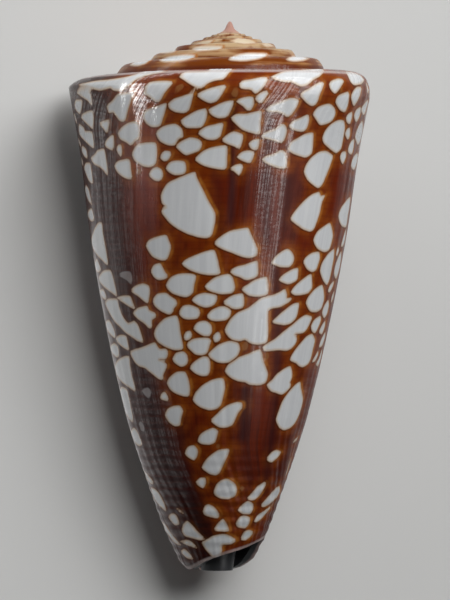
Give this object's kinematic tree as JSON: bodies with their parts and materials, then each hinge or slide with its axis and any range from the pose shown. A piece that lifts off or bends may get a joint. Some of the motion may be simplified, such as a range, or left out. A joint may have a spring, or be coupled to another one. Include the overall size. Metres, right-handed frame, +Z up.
{
  "type": "noble cone shell",
  "caption": "Empty cone-shaped sea snail shell with a low stepped spire, a sharp tip and a long narrow aperture, lying on its aperture side.",
  "frame": {"origin": "on the ground, under the middle of the shell's bounding box as it lies on its aperture side", "axes": "+Y from the front tip towards the spire, +Z up, +X to the right seen from above with the spire away from the viewer; the outer lip is on the -X side"},
  "size_m": [0.0248, 0.0456, 0.0225],
  "materials": {
    "shell": "glossy natural shell: red-brown ground with rounded white tent marks in brown outlines"
  },
  "bodies": {
    "root": {"shell": "shell"}
  },
  "joints": []
}
